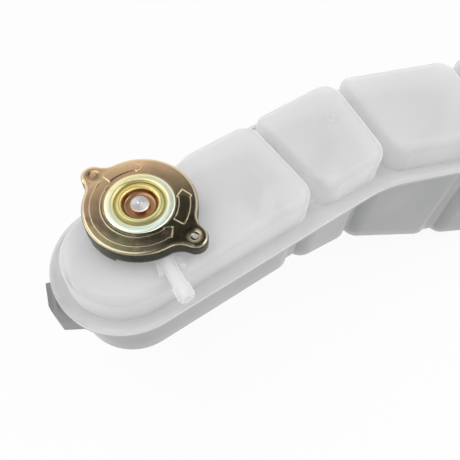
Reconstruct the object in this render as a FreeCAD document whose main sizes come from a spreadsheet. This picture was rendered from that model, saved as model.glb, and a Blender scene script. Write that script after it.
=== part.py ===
import FreeCAD, Part
import math
import os
import Sketcher
from FreeCAD import Placement, Rotation, Vector

# A bent coolant expansion tank: two moulded half shells welded at a flange, with a
# pressed steel pressure cap on the filler neck. Millimetres and degrees.
# The neck axis is x = y = 0 while the pieces are drawn, and z = 0 is the weld plane.
# Leg 1 runs along +X. Leg 2 turns towards -Y by the bend angle.

os.makedirs("parts", exist_ok=True)
doc = FreeCAD.newDocument("expansion_tank")

SIZES = [
    ("neck_to_end", 19.6, "neck axis to the centre of the round left end, along leg 1"),
    ("neck_offset", 7.7, "neck axis to the tank's centre line"),
    ("flange_half", 47, "half the flange's width"),
    ("flange_thick", 2, "each half of the welded flange"),
    ("lip_width", 2.4, "raised lip along the flange's edge"),
    ("lip_height", 0.9, "raised lip above the flange"),
    ("wall_inset", 9.1, "chamber wall inside the flange's edge"),
    ("shell_wall", 2.8, "moulded wall"),
    ("bend_angle", 20.8, "leg 2 to leg 1"),
    ("bend_radius", 92.8, "flange's edge on the inside of the bend"),
    ("bend_start", 141.1, "neck axis to the start of the bend"),
    ("leg_length", 132, "bend's corner to the centre of the round right end"),
    ("chamber_height", 25.5, "chamber tops above the weld plane"),
    ("chamber_edge", 6, "rounding of the chamber tops"),
    ("chamber_corner", 14, "upright corners beside the valleys"),
    ("far_corner", 6, "sharper corner at the far left of chambers 2 to 4"),
    ("end_step", 5.2, "first chamber's far wall set in beside the neck"),
    ("step_left", 34, "neck axis to the start of that step"),
    ("step_right", 50, "neck axis to the end of that step"),
    ("upper_draft", 1.5, "draft of the upper walls"),
    ("valley_gap", 3.5, "gap between two chambers at their foot"),
    ("valley_one", 103.9, "neck axis to the first valley"),
    ("valley_two", 171.06, "neck axis to the second valley, along leg 1"),
    ("valley_three", 89.5, "bend's corner to the third valley"),
    ("bridge_inset", 8, "low passage between chambers inside their walls"),
    ("bridge_height", 6, "low passage between chambers above the weld plane"),
    ("groove_gap", 3, "gap between two lower chambers"),
    ("groove_one", 96, "neck axis to the first groove"),
    ("groove_two", 162.2, "neck axis to the second groove, along leg 1"),
    ("groove_three", 88, "bend's corner to the third groove"),
    ("groove_inset", 6.5, "grooves inside the lower walls"),
    ("groove_rise", 1, "groove floors above the shallower chamber's floor there"),
    ("lower_corner", 14, "upright corners beside the grooves"),
    ("lower_edge", 8, "rounding of the chamber floors"),
    ("lower_draft", 0.7, "draft of the lower walls"),
    ("floor_one", 59.3, "first chamber's floor below the weld plane"),
    ("floor_two", 64.2, "second chamber's floor at the first groove"),
    ("slope_two", 11.3, "second chamber's floor"),
    ("floor_three", 83.2, "third chamber's floor at the second groove"),
    ("slope_three", 18.1, "third chamber's floor"),
    ("floor_four", 112.7, "fourth chamber's floor at the third groove"),
    ("slope_four", 13.2, "fourth chamber's floor"),
    ("web_thick", 2.4, "cross webs inside the lower shell"),
    ("web_top", 8, "top of the cross webs below the weld plane"),
    ("web_gap", 16, "upright gap in the middle of each cross web"),
    ("lug_reach", 52.7, "round end's centre to the lug's outer face"),
    ("lug_start", 160.5, "lug's far end, from leg 1"),
    ("lug_far_reach", 50.5, "round end's centre to the lug's far corner"),
    ("lug_round_start", 178, "start of the lug's round face, from leg 1"),
    ("lug_finish", 192, "lug's near end, from leg 1"),
    ("lug_depth", 12.5, "lug below the flange"),
    ("lug_bore", 3.2, "radius of the lug's hole"),
    ("lug_bore_depth", 9, "depth of the lug's hole"),
    ("lug_bore_at", 178, "place of the lug's hole, from leg 1"),
    ("lug_bore_reach", 45.6, "round end's centre to the lug's hole"),
    ("outlet_radius", 8, "outside of the bottom outlet"),
    ("outlet_bore", 6, "bore of the bottom outlet"),
    ("outlet_bead", 9, "bead of the bottom outlet"),
    ("outlet_length", 34, "bottom outlet outside the wall"),
    ("outlet_bead_length", 9, "length of the outlet's bead"),
    ("outlet_drop", 113, "outlet's axis below the weld plane"),
    ("neck_radius", 22, "outside of the filler neck"),
    ("neck_bore", 19.5, "bore of the filler neck"),
    ("neck_top", 39.6, "rim of the neck above the weld plane"),
    ("collar_radius", 28.3, "locking collar of the neck"),
    ("collar_height", 7.3, "locking collar below the rim"),
    ("seat_top", 19.7, "valve seat above the weld plane"),
    ("seat_thick", 2.5, "valve seat"),
    ("seat_bore", 13, "hole in the valve seat"),
    ("notch_angle", 19, "first notch of the collar, from leg 1"),
    ("notch_depth", 23.8, "neck axis to the notch's floor"),
    ("stop_width", 3, "stop block under the collar"),
    ("stop_drop", 3, "stop block below the collar"),
    ("stop_beside", 4.5, "edge of a turned lug to the middle of a stop, as an angle"),
    ("turn_range", 90, "turn from the free to the locked place"),
    ("nipple_angle", -96.3, "overflow nipple, from leg 1"),
    ("nipple_rise", 28.9, "nipple's axis above the weld plane"),
    ("nipple_radius", 4.2, "outside of the nipple"),
    ("nipple_bore", 2.6, "bore of the nipple"),
    ("nipple_bead", 5.2, "bead at the nipple's end"),
    ("nipple_bead_length", 8.7, "length of the bead"),
    ("nipple_reach", 60.8, "neck axis to the nipple's end"),
    ("rib_reach", 42, "neck axis to the end of the neck's ribs"),
    ("rib_thick", 2.6, "neck's ribs"),
    ("rib_height", 4, "neck's ribs above the chamber top"),
    ("rib_one", -105, "first rib, from leg 1"),
    ("rib_two", -86.2, "second rib, from leg 1"),
    ("gate_at", 147.5, "neck axis to the moulding gate"),
    ("gate_radius", 4.2, "ring around the gate"),
    ("gate_height", 0.35, "ring above the chamber top"),
    ("gate_dimple", 1.5, "radius of the gate's dimple"),
    ("cover_radius", 34, "pressed cover"),
    ("cover_top", 42.5, "flat of the cover above the weld plane"),
    ("cover_skirt", 9, "skirt below the flat"),
    ("cover_sheet", 1, "steel sheet"),
    ("cover_edge", 2.2, "rounded edge of the cover"),
    ("ear_angle", -67.5, "first ear, from leg 1"),
    ("ear_reach", 46.2, "cap's axis to the tip of the first ear"),
    ("back_ear_angle", 111, "second ear, from leg 1"),
    ("back_ear_reach", 43.4, "cap's axis to the tip of the second ear"),
    ("ear_tip", 7.3, "radius of an ear's tip"),
    ("ear_blend", 12, "hollow curve from an ear into the cover"),
    ("ear_hole", 1.5, "radius of the hole in the first ear"),
    ("ear_hole_at", 38.6, "cap's axis to the hole"),
    ("ring_height", 1.3, "raised rings above the flat"),
    ("ring_outer", 20.4, "outside of the raised ring"),
    ("ring_groove", 14.75, "groove between the raised rings"),
    ("dish_radius", 11.2, "edge of the dished centre"),
    ("dish_depth", 2.8, "dished centre below the flat"),
    ("lug_inner", 24.8, "cap's axis to the inner end of a locking lug"),
    ("lug_width", 13, "locking lug"),
    ("lug_gap", 0.4, "locking lug below the collar"),
    ("tab_half_angle", 15.5, "half the skirt's deeper part above a lug"),
    ("rivet_head", 5.65, "radius of the rivet's head"),
    ("rivet_shank", 3.2, "radius of the rivet's shank"),
    ("rivet_height", 3, "rivet's head above the dish"),
    ("rivet_tail", 5.2, "radius of the rivet's flattened end"),
    ("running_gap", 0.1, "clearance of parts that turn or slide"),
    ("rim_seal_thick", 1.2, "rubber ring on the neck's rim"),
    ("rim_seal_outer", 26.5, "outside of the rim seal"),
    ("rim_seal_inner", 20, "inside of the rim seal"),
    ("disc_radius", 27, "sprung disc"),
    ("disc_sheet", 0.5, "sheet of the sprung disc"),
    ("bell_radius", 15.5, "outside of the bell"),
    ("bell_sheet", 0.7, "sheet of the bell"),
    ("bell_height", 11.1, "bell"),
    ("bell_lip", 13.2, "inside of the bell's bottom lip"),
    ("bell_window", 2.5, "radius of the bell's windows"),
    ("bell_windows", 4, "number of windows"),
    ("seal_thick", 2.2, "rubber ring of the pressure valve"),
    ("seal_outer", 16.5, "outside of that ring"),
    ("seal_inner", 7.3, "inside of that ring"),
    ("plate_sheet", 0.8, "sheet of the valve plate"),
    ("plate_waist", 12.4, "tube of the valve plate through the bell's lip"),
    ("plate_collar", 14.3, "collar of the valve plate above the lip"),
    ("plate_vent", 1.2, "radius of the plate's vents"),
    ("plate_vents", 4, "number of vents"),
    ("vacuum_disc", 9.4, "radius of the vacuum valve"),
    ("vacuum_sheet", 0.8, "thickness of the vacuum valve"),
    ("vacuum_stem", 1.5, "radius of its stem"),
    ("keeper_radius", 4.5, "keeper on the stem"),
    ("keeper_sheet", 0.8, "thickness of the keeper"),
    ("keeper_gap", 3.5, "keeper above the valve plate"),
    ("spring_wire", 1.5, "wire of the pressure spring"),
    ("spring_radius", 12.9, "mean radius of the pressure spring"),
    ("spring_turns", 2.5, "turns of the pressure spring"),
    ("small_wire", 0.5, "wire of the vacuum spring"),
    ("small_radius", 2.8, "mean radius of the vacuum spring"),
    ("small_turns", 3, "turns of the vacuum spring"),
]

sheet = doc.addObject("Spreadsheet::Sheet", "Sizes")
for row, (alias, number, words) in enumerate(SIZES, start=1):
    sheet.set(f"A{row}", str(number))
    sheet.setAlias(f"A{row}", alias)
    sheet.set(f"B{row}", words)
doc.recompute()


class Size:
    """A length or angle with its value now and the expression that the document keeps."""

    def __init__(self, value, text):
        self.value = value
        self.text = text

    def join(self, sign, other, value):
        return Size(value, f"({self.text} {sign} {size(other).text})")

    def __add__(self, other):
        return self.join("+", other, self.value + size(other).value)

    def __sub__(self, other):
        return self.join("-", other, self.value - size(other).value)

    def __mul__(self, other):
        return self.join("*", other, self.value * size(other).value)

    def __truediv__(self, other):
        return self.join("/", other, self.value / size(other).value)

    def __neg__(self):
        return Size(-self.value, f"(0 - {self.text})")


def size(item):
    """An alias of the sheet, a plain number or a Size, as a Size."""
    if isinstance(item, Size):
        return item
    if isinstance(item, str):
        return Size(float(sheet.get(item)), "Sizes." + item)
    return Size(float(item), repr(float(item)))


def cos(angle):
    return Size(math.cos(math.radians(angle.value)), f"cos({angle.text})")


def sin(angle):
    return Size(math.sin(math.radians(angle.value)), f"sin({angle.text})")


def tan(angle):
    return Size(math.tan(math.radians(angle.value)), f"tan({angle.text})")


def bind(owner, path, item):
    owner.setExpression(path, size(item).text)


ZERO = size(0)
flange_half = size("flange_half")
wall = size("shell_wall")
bend = size("bend_angle")
half_bend = bend / 2
centre_y = -size("neck_offset")
chamber_half = flange_half - "wall_inset"
centre_radius = size("bend_radius") + flange_half
corner_x = size("bend_start") + centre_radius * tan(half_bend)
chamber_top = size("chamber_height")
sheet_gap = size("running_gap")


class Frame:
    """A place in plan: an origin and the direction of its own X axis."""

    def __init__(self, x, y, angle):
        self.x = size(x)
        self.y = size(y)
        self.angle = size(angle)


LEG_ONE = Frame(0, centre_y, 0)
LEG_TWO = Frame(corner_x, centre_y, -bend)
NECK = Frame(0, 0, 0)


def place_on(leg, along):
    """The frame on a leg's centre line, a length along it."""
    if leg is LEG_TWO:
        along = size(along)
        return Frame(corner_x + along * cos(bend), centre_y - along * sin(bend), -bend)
    return Frame(along, centre_y, 0)


def new_body(label):
    body = doc.addObject("PartDesign::Body", label)
    body.Label = label
    return body


def attach(body, name, role, offset, axis, angle):
    """A sketch on one of the body's own planes, moved and turned within it."""
    sketch = body.newObject("Sketcher::SketchObject", name)
    plane = [item for item in body.Origin.OriginFeatures if item.Role == role][0]
    sketch.AttachmentSupport = [(plane, "")]
    sketch.MapMode = "FlatFace"
    shift = Vector(*[item.value for item in offset])
    sketch.AttachmentOffset = Placement(shift, Rotation(axis, angle.value))
    for letter, item in zip("xyz", offset):
        bind(sketch, f"AttachmentOffset.Base.{letter}", item)
    bind(sketch, "AttachmentOffset.Rotation.Angle", angle)
    return sketch


def plan_sketch(body, name, frame, height):
    """A sketch that looks down on the tank, in a frame, at a height."""
    height = size(height)
    return attach(body, name, "XY_Plane", (frame.x, frame.y, height), Vector(0, 0, 1), frame.angle)


def upright_sketch(body, name, frame):
    """A sketch in the frame's upright plane: its X axis and the height."""
    offset = (frame.x, ZERO, -frame.y)
    return attach(body, name, "XZ_Plane", offset, Vector(0, 1, 0), frame.angle)


def cross_sketch(body, name, frame):
    """A sketch in the upright plane across the frame's X axis."""
    offset = (frame.y, ZERO, frame.x)
    return attach(body, name, "YZ_Plane", offset, Vector(0, 1, 0), frame.angle)


def fix(sketch, geometry, point, axis, item):
    """Holds one coordinate of a point at a size."""
    if item.text == ZERO.text:
        line = -2 if axis == "X" else -1
        sketch.addConstraint(Sketcher.Constraint("PointOnObject", geometry, point, line))
        return
    rule = Sketcher.Constraint("Distance" + axis, -1, 1, geometry, point, item.value)
    number = sketch.addConstraint(rule)
    bind(sketch, f"Constraints[{number}]", item)


def radius(sketch, geometry, item):
    number = sketch.addConstraint(Sketcher.Constraint("Radius", geometry, item.value))
    bind(sketch, f"Constraints[{number}]", item)


def polygon(sketch, points):
    """A closed outline of straight lines through points held by sizes."""
    points = [(size(x), size(y)) for x, y in points]
    first = sketch.GeometryCount
    count = len(points)
    for index in range(count):
        start = points[index]
        end = points[(index + 1) % count]
        line = Part.LineSegment(Vector(start[0].value, start[1].value, 0),
                                Vector(end[0].value, end[1].value, 0))
        sketch.addGeometry(line)
    for index in range(count):
        after = first + (index + 1) % count
        sketch.addConstraint(Sketcher.Constraint("Coincident", first + index, 2, after, 1))
    for index, (x, y) in enumerate(points):
        fix(sketch, first + index, 1, "X", x)
        fix(sketch, first + index, 1, "Y", y)


def circle(sketch, x, y, item):
    x, y, item = size(x), size(y), size(item)
    centre = Vector(x.value, y.value, 0)
    index = sketch.addGeometry(Part.Circle(centre, Vector(0, 0, 1), item.value))
    fix(sketch, index, 3, "X", x)
    fix(sketch, index, 3, "Y", y)
    radius(sketch, index, item)


def free_arc(sketch, x, y, item, start, end):
    """An arc about a held centre; its radius and ends follow its neighbours."""
    ring = Part.Circle(Vector(x.value, y.value, 0), Vector(0, 0, 1), item.value)
    index = sketch.addGeometry(Part.ArcOfCircle(ring, math.radians(start), math.radians(end)))
    fix(sketch, index, 3, "X", x)
    fix(sketch, index, 3, "Y", y)
    return index


def arc(sketch, x, y, item, start, end):
    """An arc about a held centre, with a held radius; its ends follow its neighbours."""
    index = free_arc(sketch, x, y, item, start, end)
    radius(sketch, index, item)
    return index


def bent_outline(sketch, half_width):
    """The bent tank's outline in plan, at a half width, about the centre line."""
    half_width = size(half_width)
    angle = bend.value
    left = -size("neck_to_end")
    start = size("bend_start")
    turn_y = centre_y - centre_radius
    right_x = corner_x + size("leg_length") * cos(bend)
    right_y = centre_y - size("leg_length") * sin(bend)
    inner = centre_radius - half_width
    outer = centre_radius + half_width
    end_a = arc(sketch, left, centre_y, half_width, 90, 270)
    near = arc(sketch, start, turn_y, inner, 90 - angle, 90)
    end_b = arc(sketch, right_x, right_y, half_width, -90 - angle, 90 - angle)
    far = arc(sketch, start, turn_y, outer, 90 - angle, 90)
    arcs = {name: sketch.Geometry[index] for name, index in
            (("end_a", end_a), ("near", near), ("end_b", end_b), ("far", far))}
    joints = [
        (end_a, 2, arcs["end_a"].EndPoint, near, 2, arcs["near"].EndPoint),
        (near, 1, arcs["near"].StartPoint, end_b, 1, arcs["end_b"].StartPoint),
        (end_b, 2, arcs["end_b"].EndPoint, far, 1, arcs["far"].StartPoint),
        (far, 2, arcs["far"].EndPoint, end_a, 1, arcs["end_a"].StartPoint),
    ]
    for one, one_end, one_point, two, two_end, two_point in joints:
        line = sketch.addGeometry(Part.LineSegment(one_point, two_point))
        sketch.addConstraint(Sketcher.Constraint("Tangent", one, one_end, line, 1))
        sketch.addConstraint(Sketcher.Constraint("Tangent", line, 2, two, two_end))


def pad(body, sketch, length, down=False, symmetric=False):
    feature = body.newObject("PartDesign::Pad", sketch.Name + "_pad")
    feature.Profile = sketch
    feature.Length = size(length).value
    bind(feature, "Length", length)
    feature.Reversed = down
    if symmetric:
        feature.SideType = "Symmetric"
    doc.recompute()
    return feature


def pocket(body, sketch, length, up=False, symmetric=False):
    feature = body.newObject("PartDesign::Pocket", sketch.Name + "_pocket")
    feature.Profile = sketch
    feature.Length = size(length).value
    bind(feature, "Length", length)
    feature.Reversed = up
    if symmetric:
        feature.SideType = "Symmetric"
    before = body.Shape.Volume
    doc.recompute()
    if body.Shape.Volume >= before:
        raise ValueError(sketch.Name + " cuts nothing")
    return feature


def spin(body, sketch, axis="V_Axis"):
    feature = body.newObject("PartDesign::Revolution", sketch.Name + "_turned")
    feature.Profile = sketch
    feature.ReferenceAxis = (sketch, [axis])
    feature.Angle = 360
    doc.recompute()
    return feature


def polar(body, feature, frame_axis, count):
    """Copies of a feature all round the upright axis."""
    pattern = body.newObject("PartDesign::PolarPattern", feature.Name + "_ring")
    pattern.Originals = [feature]
    pattern.Axis = (frame_axis, ["N_Axis"])
    pattern.Angle = 360
    pattern.Occurrences = int(size(count).value)
    bind(pattern, "Occurrences", count)
    body.Tip = pattern
    doc.recompute()
    return pattern


def round_edges(body, choose, item, name):
    """Rounds the edges of the body's tip that a test picks."""
    tip = body.Tip
    names = [f"Edge{number}" for number, edge in enumerate(tip.Shape.Edges, start=1) if choose(edge)]
    feature = body.newObject("PartDesign::Fillet", name)
    feature.Base = (tip, names)
    feature.Radius = size(item).value
    bind(feature, "Radius", item)
    doc.recompute()
    return feature


def turned(label, profile, frame=NECK):
    """A body of revolution about the frame's upright axis."""
    body = new_body(label)
    sketch = upright_sketch(body, label + "_profile", frame)
    polygon(sketch, profile)
    spin(body, sketch)
    return body


def fuse(label, pieces):
    joined = doc.addObject("Part::MultiFuse", label)
    joined.Shapes = pieces
    joined.Refine = True
    doc.recompute()
    return joined


def cut(label, base, tool):
    rest = doc.addObject("Part::Cut", label)
    rest.Base = base
    rest.Tool = tool
    rest.Refine = True
    doc.recompute()
    return rest


def is_upright(edge):
    """True for a straight upright edge."""
    if edge.Curve.TypeId != "Part::GeomLine":
        return False
    ends = [vertex.Point for vertex in edge.Vertexes]
    return abs((ends[1] - ends[0]).normalize().z) > 0.9


def upright_corners(shape):
    """Hashes of the upright edges between two flat faces."""
    found = set()
    for edge in filter(is_upright, shape.Edges):
        faces = shape.ancestorsOfType(edge, Part.Face)
        if all(face.Surface.TypeId == "Part::GeomPlane" for face in faces):
            found.add(edge.hashCode())
    return found


def far_left_corner(shape):
    """Hash of the upright corner that is furthest to the left and the far side."""
    corners = upright_corners(shape)
    edges = [edge for edge in shape.Edges if edge.hashCode() in corners]
    return max(edges, key=lambda edge: edge.CenterOfMass.y - edge.CenterOfMass.x).hashCode()


def draft_walls(body, item, name, down=False):
    """Leans every upright wall inwards, away from the weld plane."""
    tip = body.Tip
    walls = [f"Face{number}" for number, face in enumerate(tip.Shape.Faces, start=1)
             if abs(face.normalAt(0, 0).z) < 0.01]
    feature = body.newObject("PartDesign::Draft", name)
    feature.Base = (tip, walls)
    plane = [part for part in body.Origin.OriginFeatures if part.Role == "XY_Plane"][0]
    feature.NeutralPlane = (plane, [""])
    feature.Angle = size(item).value
    feature.Reversed = down
    bind(feature, "Angle", item)
    doc.recompute()
    return feature


def ring_of_face(shape, sign):
    """Hashes of the edges round the flattest face at the top (+1) or the bottom (-1)."""
    faces = [face for face in shape.Faces if sign * face.normalAt(0, 0).z > 0.9]
    face = max(faces, key=lambda item: sign * item.CenterOfMass.z)
    return {edge.hashCode() for edge in face.Edges}


def bound(at, slope):
    """One cross side of a chamber: where it meets the centre line, and its lean in plan."""
    return (size(at), size(slope))


def chamber_outlines(gap, first, second, third):
    """The four chambers in plan: the leg, its left side and its right side; None is a round end."""
    gap = size(gap)
    lean = tan(half_bend)
    slant = gap / 2 / cos(half_bend)
    second = size(second)
    shift = second - corner_x
    return [
        (LEG_ONE, None, bound(size(first) - gap / 2, 0)),
        (LEG_ONE, bound(size(first) + gap / 2, 0), bound(second - slant, lean)),
        (LEG_TWO, bound(shift + slant, -lean), bound(size(third) - gap / 2, 0)),
        (LEG_TWO, bound(size(third) + gap / 2, 0), None),
    ]


def stepped_sketch(sketch, right, half_width, inset):
    """The first upper chamber's outline; its far wall is set in beside the neck."""
    half = size(half_width) - inset
    inset = size(inset)
    step = size("end_step")
    centre = -size("neck_to_end")
    lean = size("step_right") - "step_left"
    shift = inset * (step / lean) / 2
    flat = right[0] - inset
    near = arc(sketch, centre, ZERO, half, 180, 270)
    far = free_arc(sketch, centre - step, ZERO, half - step, 90, 180)
    corners = [
        (centre - step, half - step),
        (size("step_left") + shift, half - step),
        (size("step_right") + shift, half),
        (flat, half),
        (flat, -half),
        (centre, -half),
    ]
    lines = []
    for (x0, y0), (x1, y1) in zip(corners[:-1], corners[1:]):
        line = Part.LineSegment(Vector(x0.value, y0.value, 0), Vector(x1.value, y1.value, 0))
        lines.append(sketch.addGeometry(line))
    sketch.addConstraint(Sketcher.Constraint("Tangent", near, 1, far, 2))
    sketch.addConstraint(Sketcher.Constraint("Tangent", far, 1, lines[0], 1))
    for one, two in zip(lines[:-1], lines[1:]):
        sketch.addConstraint(Sketcher.Constraint("Coincident", one, 2, two, 1))
    sketch.addConstraint(Sketcher.Constraint("Tangent", lines[-1], 2, near, 2))
    sketch.addConstraint(Sketcher.Constraint("Horizontal", lines[0]))
    sketch.addConstraint(Sketcher.Constraint("Horizontal", lines[2]))
    sketch.addConstraint(Sketcher.Constraint("Vertical", lines[3]))
    sketch.addConstraint(Sketcher.Constraint("Horizontal", lines[4]))
    fix(sketch, lines[1], 1, "X", corners[1][0])
    fix(sketch, lines[2], 1, "X", corners[2][0])
    fix(sketch, lines[2], 1, "Y", half)
    fix(sketch, lines[3], 1, "X", flat)


def chamber_sketch(sketch, left, right, half_width, inset):
    """A chamber's outline; inset moves every side inwards."""
    half = size(half_width) - inset
    inset = size(inset)
    slant = inset / cos(half_bend)

    def side(edge, sign, y):
        at, slope = edge
        shift = slant if slope.value else inset
        return at - shift * sign + slope * y

    if left is not None and right is not None:
        polygon(sketch, [(side(left, -1, -half), -half), (side(right, 1, -half), -half),
                         (side(right, 1, half), half), (side(left, -1, half), half)])
        return
    centre = -size("neck_to_end") if left is None else size("leg_length")
    flat = side(right, 1, half) if left is None else side(left, -1, half)
    turn = 90 if left is None else -90
    end = arc(sketch, centre, ZERO, half, turn, turn + 180)
    top, bottom = (1, 2) if left is None else (2, 1)
    corners = [(centre, half), (flat, half), (flat, -half), (centre, -half)]
    lines = []
    for (x0, y0), (x1, y1) in zip(corners[:-1], corners[1:]):
        line = Part.LineSegment(Vector(x0.value, y0.value, 0), Vector(x1.value, y1.value, 0))
        lines.append(sketch.addGeometry(line))
    sketch.addConstraint(Sketcher.Constraint("Tangent", end, top, lines[0], 1))
    sketch.addConstraint(Sketcher.Constraint("Coincident", lines[0], 2, lines[1], 1))
    sketch.addConstraint(Sketcher.Constraint("Coincident", lines[1], 2, lines[2], 1))
    sketch.addConstraint(Sketcher.Constraint("Tangent", lines[2], 2, end, bottom))
    sketch.addConstraint(Sketcher.Constraint("Horizontal", lines[0]))
    sketch.addConstraint(Sketcher.Constraint("Horizontal", lines[2]))
    sketch.addConstraint(Sketcher.Constraint("Vertical", lines[1]))
    fix(sketch, lines[1], 1, "X", flat)


def upper_chamber(label, outline, inset):
    """One upper chamber, or with an inset the hollow inside it."""
    leg, left, right = outline
    inset = size(inset)
    body = new_body(label)
    sketch = plan_sketch(body, label + "_plan", leg, 0)
    if left is None:
        stepped_sketch(sketch, right, chamber_half, inset)
    else:
        chamber_sketch(sketch, left, right, chamber_half, inset)
    pad(body, sketch, chamber_top - inset)
    if left is not None:
        sharp = far_left_corner(body.Tip.Shape)
        round_edges(body, lambda edge: edge.hashCode() == sharp, size("far_corner") - inset,
                    label + "_far_corner")
    corners = upright_corners(body.Tip.Shape)
    round_edges(body, lambda edge: edge.hashCode() in corners, size("chamber_corner") - inset,
                label + "_corners")
    draft_walls(body, "upper_draft", label + "_draft")
    rim = ring_of_face(body.Tip.Shape, 1)
    round_edges(body, lambda edge: edge.hashCode() in rim, size("chamber_edge") - inset, label + "_edge")
    return body


def lower_chamber(label, outline, inset, floor, slope):
    """One lower chamber, or with an inset the hollow inside it; its floor may slope along the leg."""
    leg, left, right = outline
    at, depth = floor
    inset, slope, at, depth = size(inset), size(slope), size(at), size(depth)
    start = -size("neck_to_end") - chamber_half if left is None else left[0]
    finish = size("leg_length") + chamber_half if right is None else right[0]
    margin = size("lower_edge") + chamber_half * tan(half_bend)
    fall = tan(slope)
    low = depth + (finish + margin - at) * fall
    body = new_body(label)
    sketch = plan_sketch(body, label + "_plan", leg, 0)
    chamber_sketch(sketch, left, right, chamber_half, inset)
    pad(body, sketch, low + margin, down=True)
    corners = upright_corners(body.Tip.Shape)
    round_edges(body, lambda edge: edge.hashCode() in corners, size("lower_corner") - inset,
                label + "_corners")
    draft_walls(body, "lower_draft", label + "_draft", down=True)
    rise = inset / cos(slope)
    below = upright_sketch(body, label + "_floor", leg)
    west, east = start - margin, finish + margin
    west_floor = rise - depth - (west - at) * fall
    east_floor = rise - depth - (east - at) * fall
    deep = -low - margin * 2
    polygon(below, [(west, deep), (east, deep), (east, east_floor), (west, west_floor)])
    pocket(body, below, chamber_half * 3, symmetric=True)
    rim = ring_of_face(body.Tip.Shape, -1)
    round_edges(body, lambda edge: edge.hashCode() in rim, size("lower_edge") - inset, label + "_edge")
    return body


def block(label, frame, half_length, half_width, height, down):
    """A plain block about a frame's origin, from the weld plane up or down."""
    body = new_body(label)
    sketch = plan_sketch(body, label + "_plan", frame, 0)
    x, y = size(half_length), size(half_width)
    polygon(sketch, [(-x, -y), (x, -y), (x, y), (-x, y)])
    pad(body, sketch, height, down=down)
    return body


def flange(label, down):
    body = new_body(label)
    sketch = plan_sketch(body, label + "_plan", NECK, 0)
    bent_outline(sketch, flange_half)
    pad(body, sketch, "flange_thick", down=down)
    return body


def lip(label):
    """The raised lip along the upper flange's edge."""
    body = new_body(label)
    sketch = plan_sketch(body, label + "_plan", NECK, 0)
    bent_outline(sketch, flange_half)
    bent_outline(sketch, flange_half - "lip_width")
    pad(body, sketch, size("flange_thick") + "lip_height")
    return body


def around(angle):
    """The neck's frame, turned."""
    return Frame(0, 0, angle)


def tube_along(label, frame, height, profile):
    """A body of revolution about the frame's own X axis at a height."""
    body = new_body(label)
    sketch = plan_sketch(body, label + "_profile", frame, height)
    polygon(sketch, profile)
    spin(body, sketch, "H_Axis")
    return body


valley_frames = [
    place_on(LEG_ONE, "valley_one"),
    Frame(size("valley_two"), centre_y, -half_bend),
    place_on(LEG_TWO, "valley_three"),
]
groove_frames = [
    place_on(LEG_ONE, "groove_one"),
    Frame(size("groove_two"), centre_y, -half_bend),
    place_on(LEG_TWO, "groove_three"),
]
second_start = size("groove_two") - corner_x
floors = [
    ((ZERO, size("floor_one")), ZERO),
    ((size("groove_one"), size("floor_two")), size("slope_two")),
    ((second_start, size("floor_three")), size("slope_three")),
    ((size("groove_three"), size("floor_four")), size("slope_four")),
]


def floor_at(number, along):
    (at, depth), slope = floors[number]
    return depth + (size(along) - at) * tan(slope)


groove_span = size("groove_gap") / 2 + "lower_corner"
groove_depths = [
    size("floor_one") - "groove_rise",
    floor_at(1, size("groove_two") - groove_span) - "groove_rise",
    floor_at(2, size("groove_three") - groove_span) - "groove_rise",
]

neck_top = size("neck_top")
collar_foot = neck_top - "collar_height"
seat_top = size("seat_top")
seat_foot = seat_top - "seat_thick"


def neck_outside():
    """The neck as a solid, with its locking collar, notches and stops."""
    neck, collar = size("neck_radius"), size("collar_radius")
    body = turned("neck_outside", [(0, seat_foot), (neck, seat_foot), (neck, collar_foot),
                                   (collar, collar_foot), (collar, neck_top), (0, neck_top)])
    reach = collar + "notch_depth"
    notch_half = size("lug_width") / 2 + "cover_edge"
    for number, turn in enumerate((0, 180), start=1):
        sketch = plan_sketch(body, f"notch_{number}", around(size("notch_angle") + turn), neck_top)
        polygon(sketch, [("notch_depth", -notch_half), (reach, -notch_half),
                         (reach, notch_half), ("notch_depth", notch_half)])
        pocket(body, sketch, "collar_height")
    for number, turn in enumerate((0, 180), start=1):
        angle = size("notch_angle") + turn - "turn_range" - "tab_half_angle" - "stop_beside"
        sketch = plan_sketch(body, f"stop_{number}", around(angle), collar_foot)
        half = size("stop_width") / 2
        inner, outer = neck - wall / 4, collar - wall / 4
        polygon(sketch, [(inner, -half), (outer, -half), (outer, half), (inner, half)])
        pad(body, sketch, "stop_drop", down=True)
    return body


def neck_inside():
    """The bore of the neck with the valve seat's smaller hole."""
    bore, hole = size("neck_bore"), size("seat_bore")
    low, high = seat_foot - wall, neck_top + wall
    return turned("neck_inside", [(0, low), (hole, low), (hole, seat_top),
                                  (bore, seat_top), (bore, high), (0, high)])


def nipple_outside():
    tube, bead, reach = size("nipple_radius"), size("nipple_bead"), size("nipple_reach")
    start = reach - "nipple_bead_length"
    taper = size("nipple_bead_length") / 4
    root = size("neck_bore") + size("shell_wall") / 4
    return tube_along("nipple_outside", around("nipple_angle"), "nipple_rise",
                      [(root, 0), (reach, 0), (reach, tube), (reach - taper, bead), (start, bead),
                       (start, tube), (root, tube)])


def nipple_inside():
    bore, reach = size("nipple_bore"), size("nipple_reach") + wall
    root = size("neck_bore") - wall
    return tube_along("nipple_inside", around("nipple_angle"), "nipple_rise",
                      [(root, 0), (reach, 0), (reach, bore), (root, bore)])


def neck_rib(label, angle):
    body = new_body(label)
    sketch = plan_sketch(body, label + "_plan", around(angle), chamber_top - wall / 2)
    half = size("rib_thick") / 2
    root = size("neck_bore") + wall / 2
    polygon(sketch, [(root, -half), ("rib_reach", -half), ("rib_reach", half), (root, half)])
    pad(body, sketch, size("rib_height") + wall / 2)
    return body


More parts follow.
